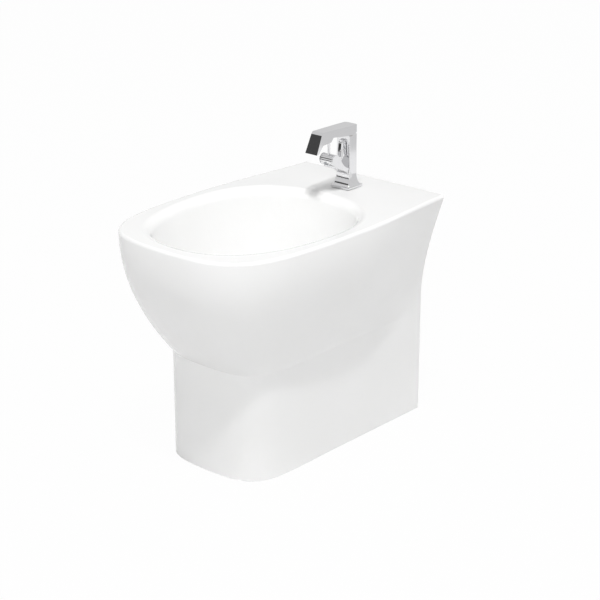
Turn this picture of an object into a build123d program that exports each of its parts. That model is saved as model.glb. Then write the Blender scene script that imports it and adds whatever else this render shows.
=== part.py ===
# Back-to-wall bidet: a hollow china body standing on the floor, a square single-lever tap
# on its deck, a push-to-close waste, a bottle trap and a concealed floor fixing.
# Millimetres. The origin is on the floor, in the middle of the footprint.
# +X is to the right of someone facing the wall, +Y points to the wall and +Z is up.
import math
import os

from build123d import *

# Overall china
width = 362.0
length = 540.0
deck_height = 425.0
wall_y = length / 2

# Plan of the deck: straight at the wall, widest part way forward, blunt nose in front
deck_wall_width = 330.0
widest_from_wall = 256.0
nose_side_reach = 244.0
nose_front_width = 310.0

# Plan of the pedestal, which is the same from the floor up to the crease
pedestal_width = 236.0
pedestal_waist = 230.0
waist_from_wall = 207.0
pedestal_length = 448.0
pedestal_side_reach = 205.0
pedestal_front_width = 272.0
pedestal_lean = (pedestal_width - pedestal_waist) / 2 / waist_from_wall

# Heights where the bowl leaves the pedestal, in front and at the wall
crease_height = 195.0
flare_height = 240.0
front_swell = 2.25
side_swell = 2.3
side_foot = 1.25
wall_flare = 1.5
skin_steps = 12
back_trim = 5.0
deck_edge_radius = 5.0
side_handle_deck = 0.2

# China thickness
skin_wall = 12.0
bowl_wall = 11.0
deck_thickness = 16.0
service_width = 206.0
service_height = 320.0

# Bowl opening and depth
bowl_rim_side = 33.0
bowl_from_wall = 140.0
bowl_rim_front = 35.0
bowl_widest_from_wall = 290.0
bowl_fullness = 0.66
round_share = 0.5523
bowl_depth = 145.0
bowl_steepness = 0.75
bowl_edge_radius = 16.0
bowl_steps = 8
bowl_cut_above = 4.0
dish_radius = 40.0

# Waste outlet in the bowl floor
drain_from_wall = 265.0
drain_hole_radius = 22.5
drain_boss_radius = 38.0
drain_boss_depth = 30.0
flange_recess = 3.5
flange_radius = 31.5
drain_y = wall_y - drain_from_wall
bowl_floor = deck_height - bowl_depth

# Overflow: a hole under the front rim and a duct that follows the underside of the bowl
overflow_radius = 9.0
overflow_drop = 45.0
duct_width = 32.0
duct_gap = 8.0
duct_wall = 7.0
duct_over_hole = 3.0
duct_end_lap = 4.0
overflow_reach = 40.0

# Clearances, the depth by which joined forms enter each other and the length cuts run past a face
fit = 0.1
running = 0.05
loose = 0.3
bite = 0.5
past = 1.0

# Waste
flange_thickness = 2.5
waste_tube_radius = 20.5
waste_bore_radius = 17.5
waste_length = 72.0
waste_slot_width = 16.0
waste_slot_height = 12.0
hub_radius = 7.0
hub_height = 8.0
hub_drop = 22.0
spoke_width = 4.0
funnel_depth = 6.0
funnel_flare = 4.0
lower_seal_height = 8.0
lower_seal_radius = 30.0
backnut_height = 10.0
backnut_radius = 31.0
backnut_notches = 8
backnut_notch_radius = 3.0
plug_radius = 31.0
plug_thickness = 6.0
plug_edge = 2.0
plug_travel = 9.0
plug_skirt_radius = 15.0
plug_skirt_height = 5.0
plug_skirt_wall = 3.0
plug_crown_wall = 1.0
plug_seal_thickness = 2.0
click_radius = 4.0
click_collar = 1.5
click_collar_height = 2.0
click_above_hub = 6.0
click_floor = 3.0
stem_guide = 14.0
stem_gap = 2.0
stem_radius = 2.4

# Tail pipe and bottle trap
pipe_radius = 16.0
pipe_wall = 1.5
union_height = 22.0
union_radius = 25.0
union_lip = 3.0
union_seal_thickness = 2.0
tail_collar = 4.0
tail_collar_inset = 0.5
trap_below_waste = 39.5
trap_radius = 28.0
trap_shell = 2.5
trap_shoulder_radius = 6.0
trap_outlet_drop = 32.0
trap_split_drop = 68.0
trap_depth = 118.0
trap_neck_radius = 21.0
trap_neck_height = 12.0
trap_arm_reach = 46.0
cup_corner_radius = 9.0
cup_grip_ribs = 12
cup_rib_radius = 1.6
cup_rib_start = 12.0
cup_screw_depth = 14.0
seal_thickness = 3.0
nut_wall = 3.5
nut_height = 15.0
nut_edge = 1.5
nut_notches = 8
nut_notch_radius = 2.5
dip_above_bottom = 24.0
outlet_lead = 2.0
outlet_spigot = 45.0
outlet_bead = 1.2
outlet_bead_width = 3.0

# Concealed floor fixing
bracket_from_wall = 110.0
bracket_depth = 60.0
bracket_foot = 38.0
bracket_height = 62.0
bracket_sheet = 4.0
bracket_gap = 12.0
bracket_bend = 3.0
bracket_top_radius = 10.0
foot_hole_radius = 4.5
foot_hole_spacing = 34.0
foot_hole_x = 70.0
clamp_bolt_radius = 4.0
clamp_bolt_height = 42.0
clamp_bolt_length = 26.0
clamp_nut_flats = 13.0
clamp_nut_height = 6.5
clamp_head_height = 5.5
pad_radius = 14.0
pad_thickness = 4.0
pad_edge = 1.0

# Tap: all places are taken from its axis on the deck, y towards the wall, z up
tap_from_wall = 73.6
tap_y = wall_y - tap_from_wall
tap_hole_radius = 17.5
gasket_thickness = 1.0
gasket_inset = 1.5
gasket_hole_radius = 16.5
base_width = 42.0
base_depth = 41.0
base_thickness = 3.5
base_corner = 2.0
flare_inset = 1.0
flare_rise = 25.0
flare_steps = 6
column_width = 30.0
column_front = -10.5
column_back = 13.5
column_front_corner = 1.0
column_back_corner = 6.0
column_top = 97.5
column_mid = (column_front + column_back) / 2
base_top = gasket_thickness + base_thickness

# Tap water ways, stud and clamp
port_radius = 5.0
port_depth = 14.0
port_spacing = 13.0
port_y = -2.0
water_way_radius = 4.5
stud_radius = 4.0
stud_y = 10.0
stud_in_body = 12.0
stud_length = 70.0
washer_radius = 25.0
washer_thickness = 3.0
clamp_plate_thickness = 2.5
clamp_slot_width = 27.0
nut_flats = 13.0
fixing_nut_height = 12.0
stud_end_chamfer = 0.8
under_deck_cut = 20.0

# Spout bracket and jet roller
roller_y = -47.5
roller_z = 60.0
roller_radius = 10.5
roller_half = 13.1
roller_edge = 0.6
bracket_half = 13.4
cheek_thickness = 1.6
cheek_skin = 0.4
cheek_tail = 14.0
cheek_tail_height = 12.0
trunnion_radius = 2.5
trunnion_gap = 0.2
bracket_root_depth = 4.0
bracket_root_low = 24.0
bracket_root_high = 38.0
bracket_lip = 3.6
bracket_under_root = (16.0, 13.0)
bracket_under_lip = (12.0, 2.0)
bracket_over_tail = (2.0, 12.0)
bracket_over_root = 8.0
groove_count = 3
groove_first = 18.0
groove_step = 28.0
groove_depth = 1.2
groove_width = 2.0
groove_end = 1.5
jet_angle = 45.0
jet_recess = 6.0
aerator_radius = 6.0
aerator_thickness = 3.0
aerator_hole_radius = 0.8
aerator_hole_depth = 1.2
aerator_hole_ring = 3.4
aerator_hole_count = 6
stem_forward = 2.5
aim_stem_radius = 2.6
aim_stem_top = 93.0

# Flat feed pipe between the column and the jet roller
feed_width = 10.6
feed_thickness = 5.0
feed_pipe_wall = 1.5
feed_top_y = -16.5
feed_low_y = -19.3
feed_top = 88.0
feed_low = 56.0
feed_top_bend = 5.0
feed_low_bend = 7.0
feed_socket = 0.9
feed_end_wall = 1.5

# Cartridge
cartridge_radius = 10.5
cartridge_low = 62.0
cartridge_high = 89.0
ring_high = 96.5
turret_radius = 6.4
turret_low = 84.0
turret_high = 97.0
spindle_half = 3.0
spindle_low = 88.0
spindle_high = 109.0
pivot_z = 93.0
turret_floor = 1.5
pin_radius = 1.0
pin_inset = 0.6
cartridge_seal_thickness = 1.6
cartridge_seal_width = 2.2
ring_notches = 6
ring_notch_radius = 1.2
ring_notch_depth = 3.0

# Lever
lever_low = 98.3
lever_top_back = 115.0
lever_top_front = 117.0
lever_front = -79.0
lever_face_top_y = -83.0
lever_face_top_z = 112.5
lever_tip_y = -97.5
lever_tip_z = 80.5
lever_tip_width = 27.0
lever_neck_width = 24.0
lever_lift = 22.0
lever_spare_angle = 2.0
lever_edge_radius = 1.5
lever_socket = 11.0
pocket_from_tip = 47.0
pocket_depth = 7.5
pocket_wall = 4.0
grub_radius = 2.5
grub_length = 6.0
grub_hexagon = 2.5
grub_z = 107.0
cover_radius = 3.0
cover_depth = 1.5

# Underside of the lever, as distances back and up from the tip of its finger plate
lever_underside = ((6.5, 0.5), (12.5, 7.0), (18.5, 13.5), (39.0, 15.5), (45.0, 22.8))


def mix(a, b, t):
    """Value part way from a to b."""
    return a + (b - a) * t


def cylinder(radius, low, high, x=0.0, y=0.0):
    """Upright cylinder between two heights."""
    return Pos(x, y, (low + high) / 2) * Cylinder(radius, high - low)


def ring(outer, inner, low, high, x=0.0, y=0.0):
    """Upright tube between two heights."""
    return cylinder(outer, low, high, x, y) - cylinder(inner, low - past, high + past, x, y)


def block(x0, x1, y0, y1, z0, z1):
    """Box between two corners."""
    return Pos((x0 + x1) / 2, (y0 + y1) / 2, (z0 + z1) / 2) * Box(x1 - x0, y1 - y0, z1 - z0)


def along_x(radius, x0, x1, y, z):
    """Cylinder along X."""
    return Pos((x0 + x1) / 2, y, z) * Rot(0, 90, 0) * Cylinder(radius, x1 - x0)


def along_y(radius, y0, y1, x, z):
    """Cylinder along Y."""
    return Pos(x, (y0 + y1) / 2, z) * Rot(90, 0, 0) * Cylinder(radius, y1 - y0)


def hexagon(flats, low, high, x=0.0, y=0.0):
    """Upright hexagonal prism across the given flats."""
    outline = RegularPolygon(flats / 2, 6, major_radius=False)
    return Pos(x, y, low) * extrude(outline, high - low)


def side_prism(face, half):
    """Prism of a face drawn in Y and Z, centred on X = 0."""
    return extrude(face, half, both=True)


def side_face(edges):
    """Face from (y, z) outline edges, set in the YZ plane."""
    return Plane.YZ * make_face(Wire(edges))


# China body


def front_blend(z):
    """How far the front of the plan has grown from pedestal to deck."""
    if z <= crease_height:
        return 0.0
    return 1 - ((deck_height - z) / (deck_height - crease_height)) ** front_swell


def side_blend(z):
    """How far the widest part has grown: hollow at the foot, then round up to the deck."""
    if z <= crease_height:
        return 0.0
    rise = (z - crease_height) / (deck_height - crease_height)
    return 1 - (1 - rise ** side_foot) ** side_swell


def wall_blend(z):
    """How far the plan at the wall has grown from pedestal to deck."""
    if z <= flare_height:
        return 0.0
    return ((z - flare_height) / (deck_height - flare_height)) ** wall_flare


def skin_plan(z, inset=0.0):
    """Plan of the outer skin at a height, or of the hollow inside it."""
    front = front_blend(z)
    back = wall_blend(z)
    side = side_blend(z)
    half_wall = mix(pedestal_width, deck_wall_width, back) / 2 - inset
    half_wide = mix(pedestal_waist, width, side) / 2 - inset
    wide_y = wall_y - mix(waist_from_wall, widest_from_wall, side)
    end_y = wall_y + back_trim
    third = (end_y - wide_y) / 3
    lean = pedestal_lean * (1 - side)
    reach = mix(pedestal_side_reach, nose_side_reach, side) - inset
    nose_half = mix(pedestal_front_width, nose_front_width, front) / 2 - inset
    front_y = wall_y - mix(pedestal_length, length, front) + inset
    side_line = [
        (half_wall, end_y),
        (mix(half_wall, half_wide, mix(1 / 3, side_handle_deck, side)), end_y - third),
        (half_wide + lean * third, wide_y + third),
        (half_wide, wide_y),
    ]
    nose_line = [
        (half_wide, wide_y),
        (half_wide - lean * reach, wide_y - reach),
        (nose_half, front_y),
        (0, front_y),
    ]
    right = [Bezier(*side_line), Bezier(*nose_line)]
    left = [Bezier(*[(-x, y) for x, y in reversed(line)]) for line in (nose_line, side_line)]
    back_line = Line((-half_wall, end_y), (half_wall, end_y))
    return Pos(0, 0, z) * make_face(Wire(right + left + [back_line]))


def skin_solid(top, inset=0.0):
    """Solid pedestal and bowl shape up to a height, cut off flat where it meets the wall."""
    rise = top - crease_height
    levels = [crease_height + rise * step / skin_steps for step in range(skin_steps + 1)]
    sections = [skin_plan(level, inset) for level in levels]
    past_wall = loft(sections) + extrude(skin_plan(0, inset), crease_height)
    return past_wall - block(-width, width, wall_y, wall_y + 2 * back_trim, -past, deck_height + past)


def bowl_plan(z, sink, grow):
    """Plan of the bowl at a height. sink is 0 at the rim and 1 at the dish round the waste."""
    half = mix(width / 2 - bowl_rim_side, dish_radius, sink) + grow
    wide_y = mix(wall_y - bowl_widest_from_wall, drain_y, sink)
    back_y = mix(wall_y - bowl_from_wall, drain_y + dish_radius, sink) + grow
    front_y = mix(wall_y - length + bowl_rim_front, drain_y - dish_radius, sink) - grow
    full = mix(bowl_fullness, round_share, sink)
    quarters = []
    for end_y, start_first in ((back_y, True), (front_y, False)):
        line = [(0, end_y), (full * half, end_y), (half, mix(wide_y, end_y, full)), (half, wide_y)]
        quarters.append(line if start_first else line[::-1])
    mirrored = [[(-x, y) for x, y in line[::-1]] for line in quarters[::-1]]
    return Pos(0, 0, z) * make_face(Wire([Bezier(*line) for line in quarters + mirrored]))


def bowl_solid(grow=0.0):
    """The space in the bowl, or that space grown outwards by a thickness."""
    sections = [bowl_plan(deck_height + bowl_cut_above, 0, grow)]
    for step in range(bowl_steps + 1):
        angle = math.radians(90 * step / bowl_steps)
        sink = 1 - math.cos(angle) ** bowl_steepness
        z = deck_height - (bowl_depth + grow) * math.sin(angle)
        sections.append(bowl_plan(z, sink, grow))
    return loft(sections)


def duct_slab(half):
    """The strip under the front half of the bowl that the overflow duct runs in."""
    high = deck_height - overflow_drop + overflow_radius + duct_over_hole
    return block(-half, half, -wall_y, drain_y - drain_hole_radius + duct_end_lap, 0, high)


def ceramic_body():
    """Hollow china: skin, deck, bowl, drain boss, overflow duct and holes."""
    bowl = bowl_solid()
    bowl_outside = bowl_solid(bowl_wall)
    duct_outside = bowl_solid(bowl_wall + duct_gap)
    duct_skin = bowl_solid(bowl_wall + duct_gap + duct_wall)

    skin = skin_solid(deck_height)
    deck_face = skin.faces().sort_by(Axis.Z)[-1]
    rim = [edge for edge in deck_face.edges() if abs(edge.center().Y - wall_y) > past]
    skin = fillet(rim, deck_edge_radius)

    hollow = skin_solid(deck_height - deck_thickness, skin_wall)
    hollow -= block(-width, width, wall_y - skin_wall, wall_y + skin_wall, 0, deck_height)
    hollow += block(-service_width / 2, service_width / 2, wall_y - 2 * skin_wall,
                    wall_y + skin_wall, -past, service_height)
    hollow += block(-service_width / 2, service_width / 2, 0, wall_y - skin_wall, -past, past)

    boss_low = bowl_floor - drain_boss_depth
    solid_inside = bowl_outside + cylinder(drain_boss_radius, boss_low, bowl_floor, y=drain_y)
    solid_inside += duct_skin & duct_slab(duct_width / 2 + duct_wall)
    china = skin - (hollow - solid_inside) - bowl

    deck = china.faces().filter_by(Plane.XY).sort_by(Axis.Z)[-1]
    china = fillet(deck.inner_wires()[0].edges(), bowl_edge_radius)

    china -= (duct_outside - bowl_outside) & duct_slab(duct_width / 2)
    overflow_z = deck_height - overflow_drop
    front_y = wall_y - length + bowl_rim_front
    china -= along_y(overflow_radius, front_y - bowl_wall - duct_gap / 2, front_y + overflow_reach,
                     0, overflow_z)
    china -= cylinder(drain_hole_radius, boss_low - past, bowl_floor + past, y=drain_y)
    china -= cylinder(flange_radius + loose, bowl_floor - flange_recess, bowl_floor + past, y=drain_y)
    china -= cylinder(tap_hole_radius, deck_height - 2 * deck_thickness, deck_height + past, y=tap_y)
    return china


# Waste


seat_z = bowl_floor - flange_recess
flange_low = bowl_floor - flange_thickness
boss_low_z = bowl_floor - drain_boss_depth
waste_low = flange_low - waste_length
backnut_high = boss_low_z - lower_seal_height
hub_high = bowl_floor - hub_drop
click_high = hub_high + click_above_hub
click_low = click_high - click_floor - plug_travel - stem_guide
plug_groove_low = bowl_floor + loose - (plug_skirt_height + plug_seal_thickness) / 2


def waste_body():
    """Flanged waste with overflow slots and a spoked hub for the push mechanism."""
    body = cylinder(flange_radius, flange_low, bowl_floor)
    body += cylinder(waste_tube_radius, waste_low, bowl_floor)
    body -= cylinder(waste_bore_radius, waste_low - past, bowl_floor + past)
    body -= Pos(0, 0, bowl_floor - funnel_depth / 2) * Cone(
        waste_bore_radius, waste_bore_radius + funnel_flare, funnel_depth)
    slot_mid = bowl_floor - bowl_wall - duct_gap / 2
    slot_half = waste_slot_height / 2
    for side in (-1, 1):
        y = side * waste_tube_radius
        body -= block(-waste_slot_width / 2, waste_slot_width / 2, min(y, 0), max(y, 0),
                      slot_mid - slot_half, slot_mid + slot_half)
    hub = cylinder(hub_radius, hub_high - hub_height, hub_high)
    spoke_reach = waste_bore_radius + bite
    spoke = block(-spoke_reach, spoke_reach, -spoke_width / 2, spoke_width / 2,
                  hub_high - hub_height, hub_high)
    hub += Rot(0, 0, 45) * spoke
    hub += Rot(0, 0, -45) * spoke
    hub -= cylinder(click_radius + running, hub_high - hub_height - past, hub_high + past)
    return Pos(0, drain_y, 0) * (body + hub)


def waste_seals():
    """Flat seal under the flange and cone seal under the china."""
    top = ring(flange_radius - bite, waste_tube_radius + fit, seat_z, flange_low, y=drain_y)
    low = ring(lower_seal_radius, waste_tube_radius + fit, backnut_high, boss_low_z, y=drain_y)
    return top, low


def waste_backnut():
    """Round nut with grip notches under the lower seal."""
    nut = ring(backnut_radius, waste_tube_radius + fit, backnut_high - backnut_height, backnut_high)
    notch = cylinder(backnut_notch_radius, 0, deck_height, x=backnut_radius)
    for step in range(backnut_notches):
        nut -= Rot(0, 0, 360 * step / backnut_notches) * notch
    return Pos(0, drain_y, 0) * nut


def waste_plug():
    """Domed plug whose skirt drops into the waste, at rest just clear of the flange."""
    low = bowl_floor + loose
    skirt_low = low - plug_skirt_height
    crown = plug_thickness - plug_edge
    dome_radius = (plug_radius ** 2 + crown ** 2) / (2 * crown)
    cap = cylinder(plug_radius, low, low + plug_thickness)
    cap &= Pos(0, 0, low + plug_thickness - dome_radius) * Sphere(dome_radius)
    skirt = cylinder(plug_skirt_radius, skirt_low, low)
    skirt -= cylinder(plug_skirt_radius - plug_skirt_wall, skirt_low - past, low - plug_crown_wall)
    boss = cylinder(click_radius, skirt_low, low)
    boss -= cylinder(stem_radius + running, skirt_low - past, low - plug_crown_wall)
    plug = cap + skirt + boss
    plug -= ring(plug_skirt_radius + past, plug_skirt_radius - plug_crown_wall, plug_groove_low,
                 plug_groove_low + plug_seal_thickness)
    return Pos(0, drain_y, 0) * plug


def plug_seal():
    """Rubber ring in the groove of the plug skirt."""
    inner = plug_skirt_radius - plug_crown_wall + running
    return ring(waste_bore_radius - loose, inner, plug_groove_low + running,
                plug_groove_low + plug_seal_thickness - running, y=drain_y)


def click_cartridge():
    """Fixed sleeve of the push mechanism, screwed into the hub."""
    sleeve = cylinder(click_radius, click_low, click_high)
    sleeve += cylinder(click_radius + click_collar, hub_high, hub_high + click_collar_height)
    sleeve -= cylinder(stem_radius + running, click_low + click_floor, click_high + past)
    return Pos(0, drain_y, 0) * sleeve


def plug_stem():
    """Plunger from the sleeve up into the plug, free to rise by the travel."""
    high = bowl_floor - plug_crown_wall
    return cylinder(stem_radius, click_low + click_floor + stem_gap, high, y=drain_y)


# Tail pipe, bottle trap and outlet


tail_high = waste_low - union_seal_thickness
trap_top = waste_low - trap_below_waste
trap_outlet_height = trap_top - trap_outlet_drop
trap_split = trap_top - trap_split_drop
trap_bottom = trap_top - trap_depth
dip_low = trap_bottom + dip_above_bottom


def union_parts():
    """Union nut, its flat seal and the tail pipe with its collar."""
    bore = pipe_radius - pipe_wall
    collar_radius = waste_tube_radius - tail_collar_inset
    seal = ring(collar_radius, bore, tail_high, waste_low)
    pipe = ring(pipe_radius, bore, dip_low, tail_high)
    pipe += ring(collar_radius, bore, tail_high - tail_collar, tail_high)
    nut_low = tail_high - tail_collar - loose - union_lip
    nut = cylinder(union_radius, nut_low, nut_low + union_height)
    nut = chamfer(nut.edges().filter_by(GeomType.CIRCLE), nut_edge)
    nut -= cylinder(waste_tube_radius + fit, nut_low + union_lip, nut_low + union_height + past)
    nut -= cylinder(pipe_radius + loose, nut_low - past, nut_low + union_lip + past)
    return [Pos(0, drain_y, 0) * piece for piece in (nut, seal, pipe)]


def trap_body():
    """Upper half of the trap: neck, shell, chamber and side arm."""
    neck_top = trap_top + trap_neck_height
    seal_seat = trap_neck_radius - trap_shell
    shell = cylinder(trap_radius, trap_split - cup_screw_depth, trap_top)
    shell = fillet(shell.edges().group_by(Axis.Z)[-1], trap_shoulder_radius)
    shell += cylinder(trap_neck_radius, trap_top - bite, neck_top)
    shell += along_y(trap_neck_radius, 0, trap_arm_reach, 0, trap_outlet_height)
    shell -= cylinder(trap_radius - trap_shell, trap_bottom, trap_top - trap_shell)
    shell -= cylinder(pipe_radius + fit, trap_bottom, neck_top + past)
    shell -= cylinder(seal_seat, neck_top - seal_thickness, neck_top + past)
    shell -= along_y(pipe_radius + fit, 0, trap_arm_reach + past, 0, trap_outlet_height)
    shell -= along_y(seal_seat, trap_arm_reach - seal_thickness, trap_arm_reach + past, 0,
                     trap_outlet_height)
    return Pos(0, drain_y, 0) * shell


def trap_cup():
    """Screw-off lower half with grip ribs."""
    outer = trap_radius + fit + trap_shell
    cup = cylinder(outer, trap_bottom, trap_split)
    cup = fillet(cup.edges().group_by(Axis.Z)[0], cup_corner_radius)
    rib = cylinder(cup_rib_radius, trap_bottom + cup_rib_start, trap_split, x=outer)
    for step in range(cup_grip_ribs):
        cup += Rot(0, 0, 360 * step / cup_grip_ribs) * rib
    step_z = trap_split - cup_screw_depth - seal_thickness
    cup -= cylinder(trap_radius - trap_shell, trap_bottom + trap_shell, trap_split + past)
    cup -= cylinder(trap_radius + fit, step_z, trap_split + past)
    return Pos(0, drain_y, 0) * cup


def trap_cup_seal():
    """Ring seal between the halves of the trap."""
    high = trap_split - cup_screw_depth
    return ring(trap_radius, trap_radius - trap_shell, high - seal_thickness, high, y=drain_y)


def cap_nut():
    """Screwed nut on a trap neck, built upright with its top face at zero."""
    outer = trap_neck_radius + fit + nut_wall
    nut = cylinder(outer, -nut_height, 0)
    nut = chamfer(nut.edges().group_by(Axis.Z)[-1], nut_edge)
    nut -= cylinder(trap_neck_radius + fit, -nut_height - past, -nut_wall)
    nut -= cylinder(pipe_radius + loose, -nut_height, past)
    notch = cylinder(nut_notch_radius, -nut_height - past, past, x=outer + past)
    for step in range(nut_notches):
        nut -= Rot(0, 0, 360 * step / nut_notches) * notch
    return nut


def trap_nuts_and_seals():
    """The nut and seal on the neck and the same two on the side arm."""
    neck_top = trap_top + trap_neck_height
    lift = nut_wall + loose
    seal = ring(trap_neck_radius - trap_shell - running, pipe_radius + running, -seal_thickness, 0)
    to_arm = Pos(0, drain_y + trap_arm_reach, trap_outlet_height) * Rot(-90, 0, 0)
    on_neck = Pos(0, drain_y, neck_top)
    return (on_neck * Pos(0, 0, lift) * cap_nut(), on_neck * seal,
            to_arm * Pos(0, 0, lift) * cap_nut(), to_arm * seal)


def outlet_pipe():
    """Chromed pipe from the trap arm to the wall, with a rolled bead that stops the wall socket."""
    start = drain_y + trap_radius + outlet_lead
    bead_y = wall_y - outlet_spigot
    pipe = along_y(pipe_radius, start, wall_y, 0, trap_outlet_height)
    pipe += along_y(pipe_radius + outlet_bead, bead_y - outlet_bead_width, bead_y, 0,
                    trap_outlet_height)
    bore = along_y(pipe_radius - pipe_wall, start - past, wall_y + past, 0, trap_outlet_height)
    return pipe - bore


# Concealed floor fixing


bracket_y = wall_y - bracket_from_wall
inner_half = (mix(pedestal_width, pedestal_waist, bracket_from_wall / waist_from_wall) / 2
              - skin_wall)
upright_x = inner_half - bracket_gap
pad_x = inner_half - loose - pad_radius * pedestal_lean - pad_thickness


def floor_bracket(side):
    """Angle bracket: a foot on the floor with two holes and an upright with a slot."""
    y0 = bracket_y - bracket_depth / 2
    y1 = bracket_y + bracket_depth / 2
    foot_x = upright_x - bracket_foot
    bracket = block(foot_x, upright_x, y0, y1, 0, bracket_sheet)
    bracket += block(upright_x - bracket_sheet, upright_x, y0, y1, 0, bracket_height)
    inner_x = upright_x - bracket_sheet
    inner_edge = bracket.edges().filter_by(Axis.Y).filter_by_position(
        Axis.X, inner_x - fit, inner_x + fit)
    bracket = fillet(inner_edge.sort_by(Axis.Z)[0], bracket_bend)
    top_edges = bracket.edges().filter_by(Axis.X).group_by(Axis.Z)[-1]
    bracket = fillet(top_edges, bracket_top_radius)
    for end in (-1, 1):
        hole_y = bracket_y + end * foot_hole_spacing / 2
        bracket -= cylinder(foot_hole_radius, -past, bracket_sheet + past, foot_hole_x, hole_y)
    bracket -= along_x(clamp_bolt_radius + fit, foot_x, upright_x + past, bracket_y,
                       clamp_bolt_height)
    return bracket if side > 0 else mirror(bracket, Plane.YZ)


def both_sides(piece):
    """A piece and its mirror image on the other side, as one group of separate solids."""
    return Compound(children=[piece, mirror(piece, Plane.YZ)])


def across(piece):
    """Lays an upright piece along +X with its base at the bracket's bolt axis."""
    return Pos(0, bracket_y, clamp_bolt_height) * Rot(0, 90, 0) * piece


def clamp_fixings():
    """Clamp bolts, their nuts on the brackets and the pads that press on the china."""
    bolt_end = pad_x - loose
    bolt = cylinder(clamp_bolt_radius, bolt_end - clamp_bolt_length, bolt_end)
    head_low = bolt_end - clamp_bolt_length - clamp_head_height
    bolt += hexagon(clamp_nut_flats, head_low, head_low + clamp_head_height)
    nut_high = upright_x - bracket_sheet
    nut = hexagon(clamp_nut_flats, nut_high - clamp_nut_height, nut_high)
    nut -= cylinder(clamp_bolt_radius + running, 0, inner_half)
    pad = cylinder(pad_radius, pad_x, pad_x + pad_thickness)
    pad = fillet(pad.edges().filter_by(GeomType.CIRCLE), pad_edge)
    return [both_sides(across(piece)) for piece in (bolt, nut, pad)]


# Tap


def tap_outline(half, front, back, front_corner, back_corner, z):
    """Rectangle with its own corner radii in front and behind."""
    face = Pos(0, (front + back) / 2) * Rectangle(2 * half, back - front)
    face = fillet(face.vertices().group_by(Axis.Y)[0], front_corner)
    face = fillet(face.vertices().group_by(Axis.Y)[-1], back_corner)
    return Pos(0, 0, z) * face


def tap_flare():
    """Concave foot between the base plate and the column."""
    sections = []
    wide = base_width / 2 - flare_inset
    deep = base_depth / 2 - flare_inset
    for step in range(flare_steps + 1):
        angle = math.radians(90 * step / flare_steps)
        share = 1 - math.sin(angle)
        z = base_top + flare_rise * (1 - math.cos(angle))
        sections.append(tap_outline(
            mix(column_width / 2, wide, share), mix(column_front, -deep, share),
            mix(column_back, deep, share), mix(column_front_corner, base_corner, share),
            mix(column_back_corner, base_corner, share), z))
    return loft(sections)


def spout_bracket():
    """Arm that rises from the column and cradles the jet roller from below and behind."""
    low = roller_z - roller_radius - loose - bracket_lip
    front_y = roller_y + bite
    back_y = roller_y + cheek_tail
    back_z = roller_z + cheek_tail_height / 2
    root_y = column_front + bracket_root_depth
    under = Bezier((root_y, bracket_root_low),
                   (root_y - bracket_under_root[0], bracket_root_low + bracket_under_root[1]),
                   (roller_y + bracket_under_lip[0], low - bracket_under_lip[1]), (front_y, low))
    nose = Line((front_y, low), (front_y, roller_z))
    inside = Line((front_y, roller_z), (back_y, back_z))
    over = Bezier((back_y, back_z),
                  (back_y + bracket_over_tail[0], roller_z - bracket_over_tail[1]),
                  (root_y - bracket_over_root, bracket_root_high), (root_y, bracket_root_high))
    root = Line((root_y, bracket_root_high), (root_y, bracket_root_low))
    arm = side_prism(side_face([under, nose, inside, over, root]), bracket_half)
    reach = bracket_half + past
    return arm - along_x(roller_radius + loose, -reach, reach, roller_y, roller_z)


def feed_solid(grow):
    """Flat bar along the path of the feed pipe: out of the column, down and forward."""
    end_y = roller_y + cheek_tail - feed_socket - feed_end_wall
    points = [(0, column_front + feed_socket, feed_top), (0, feed_top_y, feed_top),
              (0, feed_low_y, feed_low), (0, end_y, feed_low)]
    path = FilletPolyline(*points, radius=[feed_top_bend, feed_low_bend])
    section = SlotOverall(feed_width + 2 * grow, feed_thickness + 2 * grow)
    return sweep(Plane(path @ 0, x_dir=(1, 0, 0), z_dir=path % 0) * section, path=path)


def tap_body():
    """Base plate, flare, column with cartridge bore, water ways and spout bracket."""
    half = column_width / 2
    body = extrude(tap_outline(base_width / 2, -base_depth / 2, base_depth / 2, base_corner,
                               base_corner, gasket_thickness), base_thickness)
    body += tap_flare()
    column_low = base_top + flare_rise
    body += extrude(tap_outline(half, column_front, column_back, column_front_corner,
                                column_back_corner, column_low), column_top - column_low)
    body += spout_bracket()
    body -= cylinder(cartridge_radius + fit, cartridge_low, column_top + past, y=column_mid)
    for side in (-1, 1):
        x = side * port_spacing / 2
        body -= cylinder(port_radius, 0, gasket_thickness + port_depth, x, port_y)
        body -= cylinder(water_way_radius, port_depth, cartridge_low + past, x, port_y)
    body -= cylinder(stud_radius + running, 0, gasket_thickness + stud_in_body, 0, stud_y)
    return body - feed_solid(running)


def base_gasket():
    """Rubber gasket under the base plate."""
    half = base_width / 2 - gasket_inset
    deep = base_depth / 2 - gasket_inset
    pad = extrude(tap_outline(half, -deep, deep, base_corner, base_corner, 0), gasket_thickness)
    return pad - cylinder(gasket_hole_radius, -past, gasket_thickness + past)


def under_deck_ring(high, thickness):
    """Round plate with a slot for the hoses, held up by the stud."""
    plate = cylinder(washer_radius, high - thickness, high)
    slot = clamp_slot_width / 2
    slot_end = port_y + port_radius + fit
    low = high - under_deck_cut
    plate -= block(-slot, slot, -washer_radius - past, slot_end, low, high + past)
    return plate - cylinder(stud_radius + fit, low, high + past, 0, stud_y)


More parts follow.
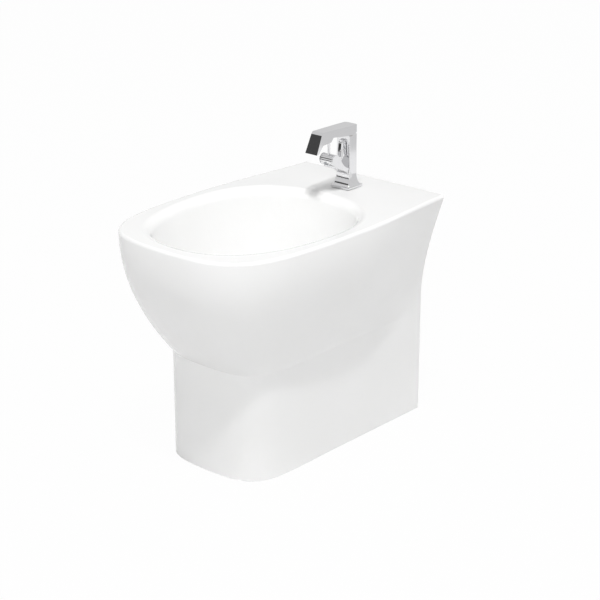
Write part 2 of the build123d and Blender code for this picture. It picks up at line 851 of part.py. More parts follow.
def tap_clamp():
    """Rubber washer, steel plate, nut and stud under the deck."""
    washer_high = -deck_thickness
    plate_high = washer_high - washer_thickness
    nut_high = plate_high - clamp_plate_thickness
    stud_high = gasket_thickness + stud_in_body - loose
    nut_low = nut_high - fixing_nut_height
    nut = hexagon(nut_flats, nut_low, nut_high, 0, stud_y)
    nut -= cylinder(stud_radius + running, nut_low - past, nut_high + past, 0, stud_y)
    stud = cylinder(stud_radius, stud_high - stud_length, stud_high, 0, stud_y)
    stud = chamfer(stud.edges().group_by(Axis.Z)[0], stud_end_chamfer)
    return (under_deck_ring(washer_high, washer_thickness),
            under_deck_ring(plate_high, clamp_plate_thickness), nut, stud)


def feed_pipe():
    """Flat pipe that brings mixed water from the column to the jet roller."""
    return feed_solid(0) - feed_solid(-feed_pipe_wall)


def nozzle_cheeks():
    """Two side cheeks with tails on the bracket, which carry the roller's trunnions."""
    half_tail = cheek_tail_height / 2
    back_y = roller_y + cheek_tail
    outer = bracket_half + cheek_thickness
    cheek = along_x(roller_radius, bracket_half, outer, roller_y, roller_z)
    cheek += block(bracket_half, outer, roller_y, back_y, roller_z - half_tail,
                   roller_z + half_tail)
    cheek -= along_x(trunnion_radius + running, bracket_half - past, outer - cheek_skin, roller_y,
                     roller_z)
    return both_sides(cheek)


def jet_frame():
    """Place of the jet outlet on the roller, looking out along the jet."""
    angle = math.radians(jet_angle)
    outward = (0, -math.sin(angle), -math.cos(angle))
    centre = (0, roller_y + outward[1] * roller_radius, roller_z + outward[2] * roller_radius)
    return Plane(centre, x_dir=(1, 0, 0), z_dir=outward)


def jet_nozzle():
    """Roller with trunnions, finger grooves, aiming stem and the recess for the aerator."""
    roller = along_x(roller_radius, -roller_half, roller_half, roller_y, roller_z)
    roller = chamfer(roller.edges().filter_by(GeomType.CIRCLE), roller_edge)
    reach = bracket_half + cheek_thickness - cheek_skin - trunnion_gap
    roller += along_x(trunnion_radius, -reach, reach, roller_y, roller_z)
    for step in range(groove_count):
        angle = math.radians(groove_first + groove_step * step)
        y = roller_y - roller_radius * math.sin(angle)
        z = roller_z + roller_radius * math.cos(angle)
        cut = Box(2 * (roller_half - groove_end), groove_width, 2 * groove_depth)
        roller -= Pos(0, y, z) * Rot(math.degrees(angle), 0, 0) * cut
    roller += cylinder(aim_stem_radius, roller_z, aim_stem_top, y=roller_y - stem_forward)
    recess = Pos(0, 0, (past - jet_recess) / 2) * Cylinder(aerator_radius, jet_recess + past)
    return roller - jet_frame() * recess


def aerator():
    """Perforated insert at the bottom of the jet recess."""
    face_z = aerator_thickness - jet_recess
    insert = Pos(0, 0, face_z - aerator_thickness / 2) * Cylinder(aerator_radius - running,
                                                                 aerator_thickness)
    hole = Pos(0, 0, face_z) * Cylinder(aerator_hole_radius, 2 * aerator_hole_depth)
    insert -= hole
    for step in range(aerator_hole_count):
        insert -= Rot(0, 0, 360 * step / aerator_hole_count) * Pos(aerator_hole_ring, 0, 0) * hole
    return jet_frame() * insert


def cartridge_parts():
    """Cartridge housing, its base seal, screwed ring, turret, spindle and pivot pin."""
    y = column_mid
    low = cartridge_low + cartridge_seal_thickness
    body = cylinder(cartridge_radius, low, cartridge_high, y=y)
    body -= cylinder(turret_radius + running, turret_low - loose, cartridge_high + past, y=y)
    seal = ring(cartridge_radius, cartridge_radius - cartridge_seal_width, cartridge_low, low, y=y)
    collar = ring(cartridge_radius, turret_radius + running, cartridge_high, ring_high, y=y)
    notch = cylinder(ring_notch_radius, ring_high - ring_notch_depth, ring_high + past,
                     cartridge_radius)
    for step in range(ring_notches):
        collar -= Pos(0, y, 0) * Rot(0, 0, 360 * step / ring_notches) * notch
    swing = (pivot_z - spindle_low) * math.sin(math.radians(lever_lift))
    slot_half = spindle_half + swing + loose
    turret = cylinder(turret_radius, turret_low, turret_high, y=y)
    turret -= block(-spindle_half - fit, spindle_half + fit, y - slot_half, y + slot_half,
                    spindle_low - turret_floor, turret_high + past)
    spindle = block(-spindle_half, spindle_half, y - spindle_half, y + spindle_half,
                    spindle_low, spindle_high)
    pin_half = turret_radius - pin_inset
    turret -= along_x(pin_radius + running, -pin_half, pin_half, y, pivot_z)
    spindle -= along_x(pin_radius + running, -pin_half, pin_half, y, pivot_z)
    pin = along_x(pin_radius, -pin_half + running, pin_half - running, y, pivot_z)
    return body, seal, collar, turret, spindle, pin


def lever_side():
    """Side outline of the lever: cap, arm, thick nose and down-turned finger plate."""
    swing = math.radians(lever_lift + lever_spare_angle)
    points = [
        (column_mid, lever_low),
        (column_back, lever_low + (column_back - column_mid) * math.tan(swing)),
        (column_back, lever_top_back),
        (lever_front, lever_top_front),
        (lever_face_top_y, lever_face_top_z),
        (lever_tip_y, lever_tip_z),
    ]
    points += [(lever_tip_y + back, lever_tip_z + up) for back, up in lever_underside]
    points.append((column_front, lever_low))
    return Plane.YZ * make_face(Polyline(*points, close=True))


def lever_plan():
    """Plan outline of the lever: as wide as the column, narrower neck, wider plate tip."""
    half = column_width / 2
    neck = lever_neck_width / 2
    tip = lever_tip_width / 2
    right = [(half, column_back), (half, column_front), (neck, lever_face_top_y), (tip, lever_tip_y)]
    left = [(-x, y) for x, y in reversed(right)]
    face = make_face(Polyline(*right, *left, close=True))
    return fillet(face.vertices().group_by(Axis.Y)[-1], column_back_corner)


def lever():
    """Lever casting with its spindle socket, grub screw hole and underside pocket."""
    plan = extrude(lever_plan(), lever_top_front + past)
    casting = side_prism(lever_side(), column_width) & plan
    top = casting.faces().sort_by(Axis.Z)[-1]
    casting = fillet(top.edges(), lever_edge_radius)
    socket = spindle_half + running
    low = lever_low - past
    casting -= block(-socket, socket, column_mid - socket, column_mid + socket, low,
                     lever_low + lever_socket)
    pocket = lever_neck_width / 2 - pocket_wall
    casting -= block(-pocket, pocket, lever_tip_y + pocket_from_tip, column_front - pocket_wall, low,
                     lever_low + pocket_depth)
    outside = column_back + past
    casting -= along_y(grub_radius + running, column_mid + spindle_half, outside, 0, grub_z)
    return casting - along_y(cover_radius + running, column_back - cover_depth, outside, 0, grub_z)


def lever_trim():
    """Grub screw on the spindle and the small cover that hides it."""
    start = column_mid + spindle_half + running
    screw = along_y(grub_radius, start, start + grub_length, 0, grub_z)
    key = extrude(RegularPolygon(grub_hexagon / 2, 6, major_radius=False), grub_hexagon, both=True)
    screw -= Pos(0, start + grub_length, grub_z) * Rot(90, 0, 0) * key
    cover = along_y(cover_radius, column_back - cover_depth + running, column_back, 0, grub_z)
    return screw, cover


def tap_nodes():
    """All tap pieces, in the tap's own frame."""
    washer, plate, nut, stud = tap_clamp()
    body, seal, collar, turret, spindle, pin = cartridge_parts()
    screw, cover = lever_trim()
    return {
        "tap_body": tap_body(),
        "tap_base_gasket": base_gasket(),
        "tap_rubber_washer": washer,
        "tap_clamp_plate": plate,
        "tap_fixing_nut": nut,
        "tap_fixing_stud": stud,
        "feed_pipe": feed_pipe(),
        "nozzle_cheeks": nozzle_cheeks(),
        "jet_nozzle": jet_nozzle(),
        "aerator": aerator(),
        "cartridge_housing": body,
        "cartridge_seal": seal,
        "cartridge_ring": collar,
        "cartridge_turret": turret,
        "cartridge_spindle": spindle,
        "spindle_pin": pin,
        "lever": lever(),
        "lever_grub_screw": screw,
        "grub_screw_cover": cover,
    }


def china_and_waste_nodes():
    """China body, waste, trap and floor fixing, in the object's frame."""
    top_seal, low_seal = waste_seals()
    union_nut, union_seal, tail_pipe = union_parts()
    neck_nut, neck_seal, arm_nut, arm_seal = trap_nuts_and_seals()
    bolts, nuts, pads = clamp_fixings()
    return {
        "ceramic_body": ceramic_body(),
        "waste_body": waste_body(),
        "waste_flange_seal": top_seal,
        "waste_lower_seal": low_seal,
        "waste_backnut": waste_backnut(),
        "waste_plug": waste_plug(),
        "plug_seal": plug_seal(),
        "click_cartridge": click_cartridge(),
        "plug_stem": plug_stem(),
        "union_nut": union_nut,
        "union_seal": union_seal,
        "tail_pipe": tail_pipe,
        "trap_body": trap_body(),
        "trap_cup": trap_cup(),
        "trap_cup_seal": trap_cup_seal(),
        "trap_inlet_nut": neck_nut,
        "trap_inlet_seal": neck_seal,
        "trap_outlet_nut": arm_nut,
        "trap_outlet_seal": arm_seal,
        "outlet_pipe": outlet_pipe(),
        "floor_bracket_left": floor_bracket(-1),
        "floor_bracket_right": floor_bracket(1),
        "clamp_bolts": bolts,
        "clamp_nuts": nuts,
        "clamp_pads": pads,
    }


def write_all():
    """Writes one STEP file for each sub-part."""
    os.makedirs("parts", exist_ok=True)
    nodes = china_and_waste_nodes()
    on_deck = Pos(0, tap_y, deck_height)
    for name, piece in tap_nodes().items():
        nodes[name] = on_deck * piece
    for name, piece in nodes.items():
        export_step(piece, f"parts/{name}.step")


write_all()
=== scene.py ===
"""Dresses the back-to-wall bidet: glazed china, a polished square tap, waste, trap and floor fixing.

Every piece stands where the frame puts it, in metres, with +Y to the wall and +Z up. The studio is a pale
floor under soft lamps, seen from the photograph's angle.
"""

import logging
import math
from dataclasses import dataclass
from enum import Enum
from functools import cache
from typing import Any

import bmesh
import bpy
from mathutils import Matrix, Vector


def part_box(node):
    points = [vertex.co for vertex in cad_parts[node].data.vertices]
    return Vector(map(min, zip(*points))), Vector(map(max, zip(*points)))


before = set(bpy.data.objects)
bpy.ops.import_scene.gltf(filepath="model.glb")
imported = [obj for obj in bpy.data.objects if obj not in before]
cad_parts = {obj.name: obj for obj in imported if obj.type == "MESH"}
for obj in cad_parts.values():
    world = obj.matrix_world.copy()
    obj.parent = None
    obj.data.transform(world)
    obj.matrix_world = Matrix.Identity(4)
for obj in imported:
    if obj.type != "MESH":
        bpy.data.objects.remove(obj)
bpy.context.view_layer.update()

log = logging.getLogger("bidet")

MM = 0.001

# Numbers of a colour Mix node's inputs and output, which share their names with those for other values.
FIRST_COLOUR, SECOND_COLOUR, MIXED_COLOUR = 6, 7, 2

# At a scale of 1, the angle of a wave texture grows by this many radians in each metre.
WAVE_ANGLE = 20

Colour = tuple[float, float, float, float]
Point = tuple[float, float, float]


class Octaves(Enum):
    """How broken up a noise pattern is."""

    ROLLING = 1.0
    SOFT = 2.0
    FINE = 3.0
    CLOUDY = 4.0
    STAINED = 5.0


class Ray(Enum):
    """Kinds of ray that a background tells apart, by the Light Path output of each."""

    CAMERA = "Is Camera Ray"
    GLOSSY = "Is Glossy Ray"
    TRANSMISSION = "Is Transmission Ray"


def linear(hex_colour: str) -> Colour:
    """Turns an sRGB hex colour into the linear values that shaders take.

    Args:
        hex_colour: Colour such as "#F4F4F2".

    Returns:
        Linear red, green and blue, with an alpha of 1.
    """
    parts = [int(hex_colour[i:i + 2], 16) / 255 for i in (1, 3, 5)]
    return (*[p / 12.92 if p <= 0.04045 else ((p + 0.055) / 1.055) ** 2.4 for p in parts], 1.0)


def per_metre(size_mm: float) -> float:
    """Scale of a pattern on Object coordinates whose cells are this size."""
    return 1 / (size_mm * MM)


def middle(node: str) -> Vector:
    """Middle of a CAD node's box, in metres."""
    low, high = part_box(node)
    return (low + high) / 2


def add_node(tree: bpy.types.NodeTree, kind: str, settings: dict[str | int, Any] | None = None,
             links: dict[str | int, bpy.types.NodeSocket] | None = None) -> bpy.types.Node:
    """Adds a shader node with its settings and links.

    Args:
        tree: Node tree that gets the node.
        kind: Blender's name of the node type.
        settings: Values by input name or number. A name in lower case is a property of the node.
        links: Output sockets, by the input that each one feeds.

    Returns:
        The new node.
    """
    node = tree.nodes.new(kind)
    for name, value in (settings or {}).items():
        if isinstance(name, str) and name[0].islower():
            setattr(node, name, value)
        else:
            node.inputs[name].default_value = value
    for name, socket in (links or {}).items():
        tree.links.new(socket, node.inputs[name])
    return node


def new_material(name: str) -> tuple[bpy.types.Material, bpy.types.NodeTree, bpy.types.NodeSocket]:
    """Starts an empty node material.

    Args:
        name: The material's name.

    Returns:
        The material, its node tree and an Object coordinates socket.
    """
    material = bpy.data.materials.new(name)
    material.use_nodes = True
    tree = material.node_tree
    tree.nodes.clear()
    place = add_node(tree, "ShaderNodeTexCoord")
    return material, tree, place.outputs["Object"]


def is_any(tree: bpy.types.NodeTree, *kinds: Ray) -> bpy.types.NodeSocket:
    """Tells some kinds of ray from the rest.

    Args:
        tree: Node tree that asks.
        kinds: The kinds of ray, one or more.

    Returns:
        A socket that is 1 for rays of these kinds and 0 for others.
    """
    path = add_node(tree, "ShaderNodeLightPath")
    found = path.outputs[kinds[0].value]
    for kind in kinds[1:]:
        either = add_node(tree, "ShaderNodeMath", {"operation": "MAXIMUM"},
                          {0: found, 1: path.outputs[kind.value]})
        found = either.outputs[0]
    return found


@dataclass(frozen=True)
class Patterns:
    """Sockets from 0 to 1 that lead a finish's colour, its gloss and its relief."""

    tone: bpy.types.NodeSocket
    gloss: bpy.types.NodeSocket
    relief: bpy.types.NodeSocket


@dataclass(frozen=True)
class Finish:
    """A surface between two close tones and two degrees of gloss, with a shallow relief.

    Roughness rises from its value by roughness_spread. The relief is relief_mm deep at a relief_share of 1.
    """

    name: str
    tone: str
    second_tone: str
    roughness: float
    roughness_spread: float
    relief_mm: float
    relief_share: float

    def base(self) -> dict[str, float]:
        """What the surface is made of: a metal, with Blender's own IOR, unless a finish says otherwise."""
        return {"Metallic": 1.0}

    def patterns(self, tree: bpy.types.NodeTree, place: bpy.types.NodeSocket) -> Patterns:
        """Draws the finish's own patterns.

        Args:
            tree: Node tree of the material.
            place: Object coordinates.

        Returns:
            The patterns.
        """
        raise NotImplementedError

    @cache
    def material(self) -> bpy.types.Material:
        """Builds the material once, for all the pieces that share it."""
        material, tree, place = new_material(self.name)
        led_by = self.patterns(tree, place)
        tone = add_node(tree, "ShaderNodeMix", {"data_type": "RGBA", FIRST_COLOUR: linear(self.tone),
                                                SECOND_COLOUR: linear(self.second_tone)}, {0: led_by.tone})
        gloss = add_node(tree, "ShaderNodeMapRange",
                         {"To Min": self.roughness, "To Max": self.roughness + self.roughness_spread},
                         {"Value": led_by.gloss})
        bump = add_node(tree, "ShaderNodeBump",
                        {"Strength": self.relief_share, "Distance": self.relief_mm * MM},
                        {"Height": led_by.relief})
        shader = add_node(tree, "ShaderNodeBsdfPrincipled", self.base(),
                          {"Base Color": tone.outputs[MIXED_COLOUR], "Roughness": gloss.outputs["Result"],
                           "Normal": bump.outputs["Normal"]})
        add_node(tree, "ShaderNodeOutputMaterial", links={"Surface": shader.outputs["BSDF"]})
        return material


# White glaze, sprayed on vitreous china and fired: a hard gloss over plain white. The eye gets soft-edged
# highlights that bend a little where the glaze ran, and a white that is never quite even.
@dataclass(frozen=True)
class Glaze(Finish):
    """Opaque white glaze fired on vitreous china."""

    name: str = "fired_white_glaze"
    tone: str = "#F5F5F5"
    second_tone: str = "#F3F3F2"
    roughness: float = 0.09
    roughness_spread: float = 0.05
    relief_mm: float = 0.02
    relief_share: float = 0.35
    ior: float = 1.52
    pool_mm: float = 120.0
    ripple_mm: float = 26.0
    pit_mm: float = 3.2

    def base(self) -> dict[str, float]:
        """Glass over clay."""
        return {"IOR": self.ior}

    def patterns(self, tree: bpy.types.NodeTree, place: bpy.types.NodeSocket) -> Patterns:
        """The colour drifts where glaze pooled, tiny pits dull it, and its ripple bends reflections."""
        pool = add_node(tree, "ShaderNodeTexNoise",
                        {"Scale": per_metre(self.pool_mm), "Detail": Octaves.SOFT.value}, {"Vector": place})
        ripple = add_node(tree, "ShaderNodeTexNoise",
                          {"Scale": per_metre(self.ripple_mm), "Detail": Octaves.ROLLING.value},
                          {"Vector": place})
        pits = add_node(tree, "ShaderNodeTexNoise",
                        {"Scale": per_metre(self.pit_mm), "Detail": Octaves.FINE.value}, {"Vector": place})
        return Patterns(pool.outputs["Fac"], pits.outputs["Fac"], ripple.outputs["Fac"])


# Chrome plated over polished brass and buffed: a cool mirror. The eye gets the room in hard dark and light
# bands, and a faint blur where hands have been.
@dataclass(frozen=True)
class Chrome(Finish):
    """Polished chrome plate on cast or turned brass."""

    name: str = "polished_chrome_plate"
    tone: str = "#E9E9EA"
    second_tone: str = "#E5E5E7"
    roughness: float = 0.045
    roughness_spread: float = 0.045
    relief_mm: float = 0.002
    relief_share: float = 0.2
    smudge_mm: float = 18.0
    buffing_mm: float = 6.0

    def patterns(self, tree: bpy.types.NodeTree, place: bpy.types.NodeSocket) -> Patterns:
        """Handling smudges lead the tone and the gloss, and buffing waves the surface."""
        smudge = add_node(tree, "ShaderNodeTexNoise",
                          {"Scale": per_metre(self.smudge_mm), "Detail": Octaves.CLOUDY.value},
                          {"Vector": place})
        buffing = add_node(tree, "ShaderNodeTexNoise",
                           {"Scale": per_metre(self.buffing_mm), "Detail": Octaves.ROLLING.value},
                           {"Vector": place})
        return Patterns(smudge.outputs["Fac"], smudge.outputs["Fac"], buffing.outputs["Fac"])


# Brass turned on a lathe and left bare: yellow and satin. The eye gets fine rings about the axis that draw
# the highlight out, and brown stains. Real rings are finer. These are drawn as coarse as they need to show.
@dataclass(frozen=True)
class TurnedMetal(Finish):
    """Bare brass with a cutter's rings about the piece's own upright axis, which passes through axis_at."""

    name: str = "turned_brass"
    tone: str = "#C9AC6A"
    second_tone: str = "#A98C4C"
    roughness: float = 0.28
    roughness_spread: float = 0.15
    relief_mm: float = 0.03
    relief_share: float = 0.3
    ring_mm: float = 5.65
    ring_wobble: float = 0.4
    stain_mm: float = 9.0
    axis_at: Point = (0.0, 0.0, 0.0)

    def patterns(self, tree: bpy.types.NodeTree, place: bpy.types.NodeSocket) -> Patterns:
        """Staining leads the tone and the gloss, and the cutter's rings are the relief."""
        centred = add_node(tree, "ShaderNodeMapping", {"Location": tuple(-v for v in self.axis_at)},
                           {"Vector": place})
        rings = add_node(tree, "ShaderNodeTexWave",
                         {"wave_type": "RINGS", "rings_direction": "Z", "Distortion": self.ring_wobble,
                          "Scale": per_metre(self.ring_mm) * math.tau / WAVE_ANGLE},
                         {"Vector": centred.outputs["Vector"]})
        stain = add_node(tree, "ShaderNodeTexNoise",
                         {"Scale": per_metre(self.stain_mm), "Detail": Octaves.STAINED.value},
                         {"Vector": place})
        return Patterns(stain.outputs["Fac"], stain.outputs["Fac"], rings.outputs["Fac"])


# Bright zinc plated on steel that was rolled and pressed: bluish grey. The eye gets a cloudy sheen with a
# faint grain along it. Real grain is finer, and this is drawn as coarse as it needs to show.
@dataclass(frozen=True)
class ZincPlate(Finish):
    """Bright zinc plate on pressed steel, whose rolling grain runs along Y."""

    name: str = "bright_zinc_plate"
    tone: str = "#B9C0C8"
    second_tone: str = "#A4A6A6"
    roughness: float = 0.3
    roughness_spread: float = 0.14
    relief_mm: float = 0.015
    relief_share: float = 0.3
    cloud_mm: float = 14.0
    grain_mm: float = 0.8
    grain_stretch: float = 0.06

    def patterns(self, tree: bpy.types.NodeTree, place: bpy.types.NodeSocket) -> Patterns:
        """Cloudy passivation leads the tone, and the rolling grain leads the gloss and the relief."""
        cloud = add_node(tree, "ShaderNodeTexNoise",
                         {"Scale": per_metre(self.cloud_mm), "Detail": Octaves.CLOUDY.value},
                         {"Vector": place})
        stretched = add_node(tree, "ShaderNodeMapping", {"Scale": (1.0, self.grain_stretch, 1.0)},
                             {"Vector": place})
        grain = add_node(tree, "ShaderNodeTexNoise",
                         {"Scale": per_metre(self.grain_mm), "Detail": Octaves.SOFT.value},
                         {"Vector": stretched.outputs["Vector"]})
        return Patterns(cloud.outputs["Fac"], grain.outputs["Fac"], grain.outputs["Fac"])


@dataclass(frozen=True)
class Moulded(Finish):
    """Moulded rubber or plastic: an even skin with the fine texture of its mould."""

    texture_mm: float
    ior: float = 1.5

    def base(self) -> dict[str, float]:
        """A polymer."""
        return {"IOR": self.ior}

    def patterns(self, tree: bpy.types.NodeTree, place: bpy.types.NodeSocket) -> Patterns:
        """The mould's texture leads all three."""
        texture = add_node(tree, "ShaderNodeTexNoise",
                           {"Scale": per_metre(self.texture_mm), "Detail": Octaves.FINE.value},
                           {"Vector": place})
        return Patterns(texture.outputs["Fac"], texture.outputs["Fac"], texture.outputs["Fac"])


# EPDM rubber from a blasted steel mould: nearly black and matt, so it takes hardly a highlight.
SEAL_RUBBER = Moulded(name="moulded_epdm_rubber", tone="#141414", second_tone="#1F1F1F", roughness=0.56,
                      roughness_spread=0.12, relief_mm=0.03, relief_share=0.4, texture_mm=0.7)

# Grey ABS from a smooth mould: a soft, even sheen beside the chrome.
INSERT_PLASTIC = Moulded(name="moulded_grey_abs", tone="#C6C9CC", second_tone="#BDC0C4", roughness=0.28,
                         roughness_spread=0.12, relief_mm=0.01, relief_share=0.4, texture_mm=0.5)

# Acetal, moulded thick and not coloured: milky, slightly yellow and waxy.
CARTRIDGE_PLASTIC = Moulded(name="moulded_white_acetal", tone="#DCDAD4", second_tone="#D2CFC7",
                            roughness=0.39, roughness_spread=0.12, relief_mm=0.015, relief_share=0.4,
                            texture_mm=0.6)


def dress(finish: Finish, *nodes: str) -> None:
    """Gives CAD nodes their finish and reports each one.

    Args:
        finish: The finish.
        nodes: Names of the nodes.
    """
    material = finish.material()
    for node in nodes:
        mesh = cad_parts[node].data
        mesh.materials.clear()
        mesh.materials.append(material)
        log.info("%s: %s", node, material.name)


@dataclass
class China:
    """The one-piece china body."""

    glaze: Glaze = Glaze()

    def build(self) -> None:
        """Glazes the body."""
        dress(self.glaze, "ceramic_body")


@dataclass
class Tap:
    """The tap on the deck: casting, lever, jet and the cartridge under the lever."""

    chrome: Chrome = Chrome()
    rubber: Moulded = SEAL_RUBBER
    insert: Moulded = INSERT_PLASTIC
    cartridge: Moulded = CARTRIDGE_PLASTIC
    zinc: ZincPlate = ZincPlate(name="zinc_tap_fixing")

    def build(self) -> None:
        """Dresses what shows of the tap and what it holds inside."""
        brass = TurnedMetal(name="turned_cartridge_brass", axis_at=tuple(middle("cartridge_ring")))
        dress(self.chrome, "tap_body", "lever", "jet_nozzle", "feed_pipe", "nozzle_cheeks")
        dress(self.rubber, "tap_base_gasket", "tap_rubber_washer", "cartridge_seal")
        dress(self.cartridge, "cartridge_housing", "cartridge_turret")
        dress(brass, "cartridge_ring", "cartridge_spindle", "tap_fixing_nut")
        dress(self.insert, "aerator", "grub_screw_cover")
        dress(self.zinc, "spindle_pin", "lever_grub_screw", "tap_clamp_plate", "tap_fixing_stud")


@dataclass
class Drain:
    """The waste in the bowl floor, the tail pipe and the bottle trap."""

    chrome: Chrome = Chrome(name="chromed_waste_brass", tone="#D9DADB", second_tone="#CDCFD1",
                            roughness=0.09, roughness_spread=0.09)
    rubber: Moulded = SEAL_RUBBER

    def build(self) -> None:
        """Dresses the waste and the trap."""
        brass = TurnedMetal(axis_at=tuple(middle("waste_backnut")))
        dress(self.chrome, "waste_body", "waste_plug", "union_nut", "tail_pipe", "trap_body", "trap_cup",
              "trap_inlet_nut", "trap_outlet_nut", "outlet_pipe")
        dress(brass, "waste_backnut", "click_cartridge", "plug_stem")
        dress(self.rubber, "waste_flange_seal", "waste_lower_seal", "plug_seal", "union_seal",
              "trap_cup_seal", "trap_inlet_seal", "trap_outlet_seal")


@dataclass
class FloorFixing:
    """The concealed brackets, bolts, nuts and pads inside the pedestal."""

    zinc: ZincPlate = ZincPlate(name="zinc_floor_brackets")
    rubber: Moulded = SEAL_RUBBER

    def build(self) -> None:
        """Dresses the fixing."""
        dress(self.zinc, "floor_bracket_left", "floor_bracket_right", "clamp_bolts", "clamp_nuts")
        dress(self.rubber, "clamp_pads")


@dataclass(frozen=True)
class Softbox:
    """A square softbox that faces the object, its side and distance in metres and its angles in degrees.

    Its level is what it adds to a white surface that faces it. Mirrors see only the small ones.
    """

    name: str
    azimuth: float
    elevation: float
    level: float
    side: float = 2.0
    distance: float = 4.5
    mirrored: bool = False

    def hang(self) -> None:
        """Hangs the lamp."""
        turn, tilt = math.radians(self.azimuth), math.radians(self.elevation)
        towards = Vector((math.cos(tilt) * math.cos(turn), math.cos(tilt) * math.sin(turn), math.sin(tilt)))
        data = bpy.data.lights.new(self.name, "AREA")
        data.size = self.side
        data.energy = self.level * (math.pi * self.distance) ** 2
        lamp = bpy.data.objects.new(self.name, data)
        lamp.location = towards * self.distance
        lamp.rotation_euler = towards.to_track_quat("Z", "Y").to_euler()
        lamp.visible_glossy = self.mirrored
        bpy.context.scene.collection.objects.link(lamp)


@dataclass(frozen=True)
class Card:
    """A painted card that stands round the tap and that only reflections see, as polished chrome needs.

    Its azimuth is in degrees. Its distance, its width and its lowest and highest edges are in metres.
    """

    name: str
    azimuth: float
    away: float
    width: float
    low: float
    high: float
    colour: str

    def place(self, centre: Vector) -> Matrix:
        """Works out where the card stands.

        Args:
            centre: Point that the card stands round. Its height isn't used.

        Returns:
            The matrix that turns, stretches and moves a square of side 2 to the card's place.
        """
        stretch = Matrix.Diagonal(((self.high - self.low) / 2, self.width / 2, 1.0, 1.0))
        upright = Matrix.Rotation(math.radians(-90), 4, "Y")
        stand = Matrix.Translation((self.away, 0.0, (self.low + self.high) / 2))
        turn = Matrix.Rotation(math.radians(self.azimuth), 4, "Z")
        return Matrix.Translation((centre.x, centre.y, 0.0)) @ turn @ stand @ upright @ stretch


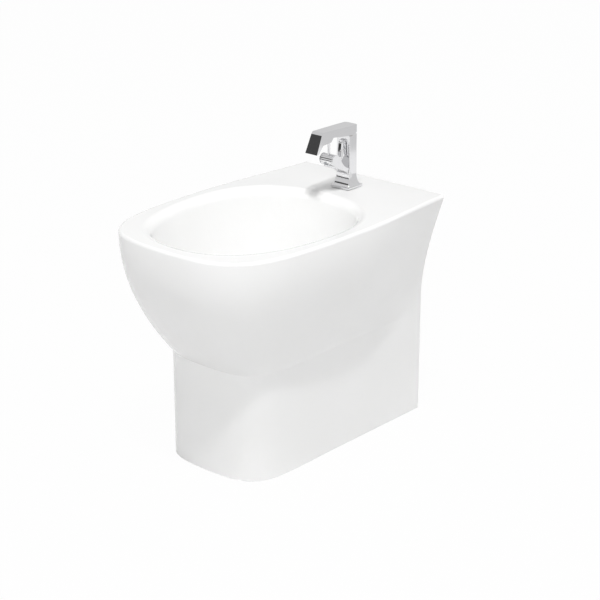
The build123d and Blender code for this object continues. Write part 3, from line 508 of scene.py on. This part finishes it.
@dataclass
class Studio:
    """Pale floor, soft lamps, a white surround and the camera at the photograph's angle, in metres."""

    camera_at: Point = (1.8629, -2.0613, 1.3202)
    look_at: Point = (-0.0521, 0.1292, 0.2128)
    lens_mm: float = 102.0
    camera_reach: float = 100.0
    floor_half: float = 12.0
    floor_colour: str = "#CBCBCB"
    floor_glow: float = 0.98
    surround: str = "#FFFFFF"
    horizon_level: float = 1.05
    zenith_level: float = 0.0
    horizon_falloff: float = 2.0
    mirrored_level: float = 0.7
    cards: tuple[Card, ...] = (
        Card("high_dark_card", azimuth=-132.0, away=1.5, width=0.9, low=0.95, high=1.3, colour="#494949"),
        Card("low_dark_card", azimuth=-129.0, away=1.5, width=1.1, low=0.18, high=0.42, colour="#3C3C3C"),
        Card("grey_card", azimuth=50.0, away=1.75, width=1.6, low=0.0, high=1.2, colour="#DADADA"),
    )
    softboxes: tuple[Softbox, ...] = (
        Softbox("key_softbox", azimuth=-44.0, elevation=68.0, level=0.315, side=0.2, mirrored=True),
        Softbox("high_softbox", azimuth=-54.0, elevation=73.0, level=0.19, side=0.2, mirrored=True),
        Softbox("camera_softbox", azimuth=-48.0, elevation=25.0, level=0.134),
        Softbox("low_softbox", azimuth=-48.0, elevation=14.0, level=0.09),
        Softbox("front_softbox", azimuth=-80.0, elevation=35.0, level=0.05),
        Softbox("left_front_softbox", azimuth=-130.0, elevation=30.0, level=0.07),
        Softbox("left_high_softbox", azimuth=-160.0, elevation=60.0, level=0.09, side=4.0),
        Softbox("right_back_softbox", azimuth=45.0, elevation=30.0, level=0.2, side=4.0),
        Softbox("back_softbox", azimuth=90.0, elevation=60.0, level=0.14, side=4.0),
    )

    def camera(self) -> None:
        """Sets the camera."""
        data = bpy.data.cameras.new("photo_camera")
        data.lens = self.lens_mm
        data.clip_end = self.camera_reach
        camera = bpy.data.objects.new("photo_camera", data)
        camera.location = self.camera_at
        aim = Vector(self.look_at) - Vector(self.camera_at)
        camera.rotation_euler = aim.to_track_quat("-Z", "Y").to_euler()
        bpy.context.scene.collection.objects.link(camera)
        bpy.context.scene.camera = camera

    def plane(self, name: str, place: Matrix, material: bpy.types.Material) -> bpy.types.Object:
        """Adds a flat sheet of the studio.

        Args:
            name: Its name.
            place: Turns, stretches and moves a square of side 2 to its place.
            material: Its finish.

        Returns:
            The sheet.
        """
        mesh = bpy.data.meshes.new(name)
        shape = bmesh.new()
        bmesh.ops.create_grid(shape, x_segments=1, y_segments=1, size=1.0, matrix=place)
        shape.to_mesh(mesh)
        shape.free()
        mesh.materials.append(material)
        sheet = bpy.data.objects.new(name, mesh)
        bpy.context.scene.collection.objects.link(sheet)
        return sheet

    def floor(self) -> None:
        """Lays the floor: white like the surround to what sees it, but for a share that keeps a shadow."""
        material, tree, _ = new_material("pale_studio_floor")
        glow = add_node(tree, "ShaderNodeMath", {"operation": "MULTIPLY", 1: self.floor_glow},
                        {0: is_any(tree, Ray.CAMERA, Ray.GLOSSY, Ray.TRANSMISSION)})
        matte = add_node(tree, "ShaderNodeBsdfDiffuse", {"Color": linear(self.floor_colour)})
        white = add_node(tree, "ShaderNodeEmission", {"Color": linear(self.surround), "Strength": 1.0})
        both = add_node(tree, "ShaderNodeMixShader", links={0: glow.outputs[0], 1: matte.outputs[0],
                                                            2: white.outputs[0]})
        add_node(tree, "ShaderNodeOutputMaterial", links={"Surface": both.outputs[0]})
        self.plane("studio_floor", Matrix.Diagonal((self.floor_half, self.floor_half, 1.0, 1.0)), material)

    def card(self, card: Card) -> None:
        """Stands a card where only reflections see it.

        Args:
            card: The card's size, place and shade.
        """
        material, tree, _ = new_material(card.name + "_paint")
        shade = add_node(tree, "ShaderNodeEmission", {"Color": linear(card.colour), "Strength": 1.0})
        add_node(tree, "ShaderNodeOutputMaterial", links={"Surface": shade.outputs[0]})
        sheet = self.plane(card.name, card.place(middle("cartridge_ring")), material)
        sheet.visible_camera = False
        sheet.visible_diffuse = False
        sheet.visible_shadow = False
        sheet.visible_transmission = False

    def world(self) -> None:
        """Makes the surround white to the camera, light grey in mirrors, and a fill light elsewhere.

        The fill comes mostly from the sides, as it does between white screens, so that upright faces are
        nearly as light as the deck.
        """
        world = bpy.data.worlds.new("white_surround")
        world.use_nodes = True
        tree = world.node_tree
        tree.nodes.clear()
        place = add_node(tree, "ShaderNodeTexCoord")
        height = add_node(tree, "ShaderNodeSeparateXYZ", links={0: place.outputs["Generated"]})
        depth = add_node(tree, "ShaderNodeMath", {"operation": "SUBTRACT", "use_clamp": True, 0: 1.0},
                         {1: height.outputs["Z"]})
        side = add_node(tree, "ShaderNodeMath", {"operation": "POWER", 1: self.horizon_falloff},
                        {0: depth.outputs[0]})
        level = add_node(tree, "ShaderNodeMapRange",
                         {"To Min": self.zenith_level, "To Max": self.horizon_level},
                         {"Value": side.outputs[0]})
        white = linear(self.surround)
        fill = add_node(tree, "ShaderNodeBackground", {"Color": white},
                        {"Strength": level.outputs["Result"]})
        mirrored = add_node(tree, "ShaderNodeBackground", {"Color": white, "Strength": self.mirrored_level})
        seen = add_node(tree, "ShaderNodeBackground", {"Color": white, "Strength": 1.0})
        lit = add_node(tree, "ShaderNodeMixShader", links={0: is_any(tree, Ray.GLOSSY), 1: fill.outputs[0],
                                                           2: mirrored.outputs[0]})
        both = add_node(tree, "ShaderNodeMixShader", links={0: is_any(tree, Ray.CAMERA, Ray.TRANSMISSION),
                                                            1: lit.outputs[0], 2: seen.outputs[0]})
        add_node(tree, "ShaderNodeOutputWorld", links={"Surface": both.outputs[0]})
        bpy.context.scene.world = world

    def build(self) -> None:
        """Builds the studio."""
        self.camera()
        self.floor()
        for card in self.cards:
            self.card(card)
        self.world()
        for softbox in self.softboxes:
            softbox.hang()
        bpy.context.scene.view_settings.view_transform = "Standard"


def main() -> None:
    """Builds the parts in order and reports each one."""
    logging.basicConfig(level=logging.INFO, format="%(name)s: %(message)s")
    for part in (China(), Tap(), Drain(), FloorFixing(), Studio()):
        log.info("building %s", type(part).__name__)
        part.build()


if __name__ == "__main__":
    main()
